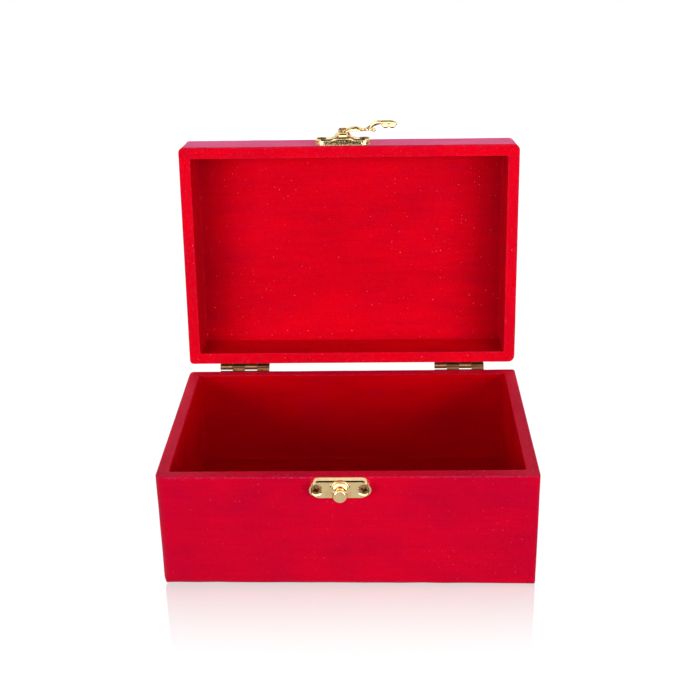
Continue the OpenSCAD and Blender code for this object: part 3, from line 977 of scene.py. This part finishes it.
# The parts are joined into one casting before it is put in its place
blanks = [put_in_scene(f"hook blank {i}", mesh_of("hook blank", bm)) for i, bm in enumerate(cast_parts)]
for blank in blanks[1:]:
    weld = blanks[0].modifiers.new(blank.name, "BOOLEAN")
    weld.operation = "UNION"
    weld.solver = "EXACT"
    weld.object = blank
cast = bpy.data.meshes.new_from_object(blanks[0].evaluated_get(bpy.context.evaluated_depsgraph_get()))
for blank in blanks:
    bpy.data.objects.remove(blank)
cast.transform(latch_place @ Matrix.Scale(MM, 4))
place_piece("gold_latch_hook", cast, (gold,), "hook", "bright_brass", "latch_hook")


def peened(radius, z, turn):
    """The rivet's head, beaten out into petals that are deepest at its edge."""
    if z < hub_top - tiny:
        return radius, z
    share = radius / rivet_head_r
    petal = math.cos(petals * turn) * share * share
    return radius * (1 + petal_out * petal), z + petal_up * petal * (z > hub_top + 0.1)


rivet_foot = -box_in_mm("latch_rivet", opened)[1].y - box_d / 2
rivet_profile = [(0, rivet_foot), (rivet_r, rivet_foot), (rivet_r, hub_top - 0.01)]
rivet_profile += soft_corners([
    (rivet_r + 0.1, hub_top + 0.01), (rivet_head_r, hub_top + 0.02), (rivet_head_r + 0.1, hub_top + 0.6),
    (1.85, hub_top + 1.25), (1.2, hub_top + rivet_head_h), (0.6, hub_top + rivet_head_h - 0.12),
    (0, hub_top + rivet_head_h - 0.3)], 0.25, 4)
rivet_mesh = mesh_at("rivet", lathe(rivet_profile, 70, peened), latch_place)
place_piece("gold_latch_rivet", rivet_mesh, (screw_brown,), "lid", "bright_brass", "latch_rivet")

# Studio
# A white acrylic table that fades into a white background, two large soft lamps low in front at the
# left and right, two weaker ones behind, and a dim even light all round. The camera stands where the
# photograph's stood.


def sheet(name, half_w, half_h, look):
    """A flat sheet in metres with its face up."""
    bm = bmesh.new()
    corners = ((-1, -1), (1, -1), (1, 1), (-1, 1))
    bm.faces.new([bm.verts.new((x * half_w, y * half_h, 0)) for x, y in corners])
    mesh = mesh_of(name, bm)
    mesh.materials.append(look)
    return put_in_scene(name, mesh)


# Half the table's width in metres, and how far it lies below the box so that the two don't touch
table_half = 1.5
table_drop = 0.02 * MM
# Share of the table that keeps shadows, with the light that makes up for it where nothing shades it
shadow_share = 0.12
unshaded = 1.115
# How strongly and how far the table mirrors the box, and how the mirroring falls off
mirror_share = 0.36
mirror_reach = 60 * MM
mirror_fall = 1.5
# How bright the table is in shiny metal close to the box and far out, and from where to where it fades
near_glow, far_glow = 0.66, 0.12
glow_near, glow_far = 0.25, 0.8

table_look, tree = new_material("white acrylic table")
ray = add(tree, "LightPath").outputs
matt = add(tree, "BsdfDiffuse", {"Color": colour("#f4f4f4")})
dim = add(tree, "BsdfDiffuse", {"Color": colour("#9a9a9a")})
white = add(tree, "Emission", {"Strength": unshaded})
pale = add(tree, "MixShader", {0: shadow_share, 1: white, 2: matt})
mirror = add(tree, "BsdfGlossy", {"Color": (1, 1, 1, 1), "Roughness": 0.03})
position = add(tree, "NewGeometry").outputs["Position"]
spot = add(tree, "SeparateXYZ", {0: position})
beyond = []
for axis, half in ((0, box_w / 2 * MM), (1, box_d / 2 * MM)):
    distance = add(tree, "Math", {0: spot.outputs[axis]}, operation="ABSOLUTE")
    beyond.append(add(tree, "Math", {0: distance, 1: half}, operation="SUBTRACT"))
away = add(tree, "Math", {0: beyond[0], 1: beyond[1]}, operation="MAXIMUM")
fade = add(tree, "MapRange", {"Value": away, "From Max": mirror_reach, "To Min": 1.0, "To Max": 0.0})
fade = add(tree, "Math", {0: fade, 1: mirror_fall}, operation="POWER")
fade = add(tree, "Math", {0: fade, 1: mirror_share}, operation="MULTIPLY")
top = add(tree, "MixShader", {0: fade, 1: pale, 2: mirror})
distance = add(tree, "VectorMath", {0: position}, operation="LENGTH")
glow = add(tree, "MapRange", {
    "Value": distance, "From Min": glow_near, "From Max": glow_far,
    "To Min": near_glow, "To Max": far_glow})
in_metal = add(tree, "Emission", {"Strength": glow})
seen = add(tree, "Math", {0: ray["Is Camera Ray"], 1: ray["Is Transmission Ray"]}, operation="MAXIMUM")
lit = add(tree, "MixShader", {0: ray["Is Glossy Ray"], 1: dim, 2: in_metal})
both = add(tree, "MixShader", {0: seen, 1: lit, 2: top})
add(tree, "OutputMaterial", {0: both})
table = sheet("table", table_half, table_half, table_look)
table.location.z = -table_drop

# Room light: white where the camera or a shiny surface sees it, and dim where it lights the box
ambient = 0.17
world = bpy.data.worlds.new("studio")
bpy.context.scene.world = world
world.use_nodes = True
tree = world.node_tree
tree.nodes.clear()
ray = add(tree, "LightPath").outputs
seen = add(tree, "Math", {0: ray["Is Camera Ray"], 1: ray["Is Glossy Ray"]}, operation="MAXIMUM")
seen = add(tree, "Math", {0: seen, 1: ray["Is Transmission Ray"]}, operation="MAXIMUM")
strength = add(tree, "MapRange", {"Value": seen, "To Min": ambient, "To Max": 1.0})
sky = add(tree, "Background", {"Color": (1, 1, 1, 1), "Strength": strength})
add(tree, "OutputWorld", {0: sky})

# Cards that only shiny metal sees: a bright sheet above the camera, and the dark of the room below
# it and overhead. card_edge is the share of a card's height in which it thins out.
card_edge = 0.14


def card_look(name, tone, strength):
    """An even card that thins out towards its upper and lower edge."""
    material, tree = new_material(name)
    place = add(tree, "SeparateXYZ", {0: add(tree, "TexCoord").outputs["Generated"]})
    from_middle = add(tree, "Math", {0: place.outputs[1], 1: 0.5}, operation="SUBTRACT")
    from_middle = add(tree, "Math", {0: from_middle}, operation="ABSOLUTE")
    thin = add(tree, "MapRange", {"Value": from_middle, "From Min": 0.5 - card_edge, "From Max": 0.5})
    look = add(tree, "Emission", {"Color": colour(tone), "Strength": strength})
    both = add(tree, "MixShader", {0: thin, 1: look, 2: add(tree, "BsdfTransparent")})
    add(tree, "OutputMaterial", {0: both})
    return material


dark_card = card_look("dark olive cloth", "#2c2818", 1.0)
white_card = card_look("lit white cloth", "#ffffff", 2.2)
# Each card's middle, width and height, and the point that it faces, in metres
for name, look, middle, width, height, aim in (
        ("dark room in front", dark_card, (0, -1.3, 0.2), 2.1, 1.16, (0, 0, 0.2)),
        ("dark room at the left", dark_card, (-1.2, -0.2, 0.3), 0.6, 1.0, (0, -0.1, 0.3)),
        ("dark room at the right", dark_card, (1.2, -0.2, 0.3), 0.6, 1.0, (0, -0.1, 0.3)),
        ("white sheet in front", white_card, (0, -1.12, 1.04), 3.0, 0.94, (0, 0, 0.2)),
        ("dark ceiling", dark_card, (0, -0.3, 1.5), 2.2, 1.35, (0, -0.1, 0))):
    card = sheet(name, width / 2, height / 2, look)
    facing = (Vector(aim) - Vector(middle)).to_track_quat("-Z", "Y").to_matrix().to_4x4()
    card.matrix_world = Matrix.Translation(middle) @ facing
    card.visible_camera = card.visible_diffuse = card.visible_shadow = False

# Square soft lamps round the middle of the open box, in metres: each one's turn and height in degrees,
# the level of white that it gives a surface facing it, and whether shiny metal mirrors it
box_middle = Vector((0, 0, 0.08))
lamp_distance = 1.2
lamp_size = 0.6
for name, azimuth, elevation, level, in_metal in (
        ("left softbox", -45, 9, 0.59, True), ("right softbox", 45, 9, 0.63, True),
        ("left softbox behind", -142, 16, 0.36, False), ("right softbox behind", 142, 16, 0.36, False)):
    lamp_data = bpy.data.lights.new(name, "AREA")
    lamp_data.shape = "SQUARE"
    lamp_data.size = lamp_size
    lamp_data.energy = level * math.pi ** 2 * lamp_distance ** 2
    lamp = put_in_scene(name, lamp_data)
    e, a = math.radians(elevation), math.radians(azimuth)
    way = Vector((math.sin(a) * math.cos(e), -math.cos(a) * math.cos(e), math.sin(e)))
    lamp.location = box_middle + way * lamp_distance
    lamp.rotation_euler = (-way).to_track_quat("-Z", "Y").to_euler()
    lamp.visible_glossy = in_metal

# Camera, with its turn in degrees
camera_spot = Vector((15.29, -508.69, 310.87))
camera_turn = (66.537, 0.971, 1.202)
camera_lens = 62.632

camera_data = bpy.data.cameras.new("camera")
camera_data.sensor_width = 36
camera_data.lens = camera_lens
camera = put_in_scene("camera", camera_data)
camera.location = camera_spot * MM
camera.rotation_euler = [math.radians(angle) for angle in camera_turn]
bpy.context.scene.camera = camera
bpy.context.scene.view_settings.view_transform = "Standard"
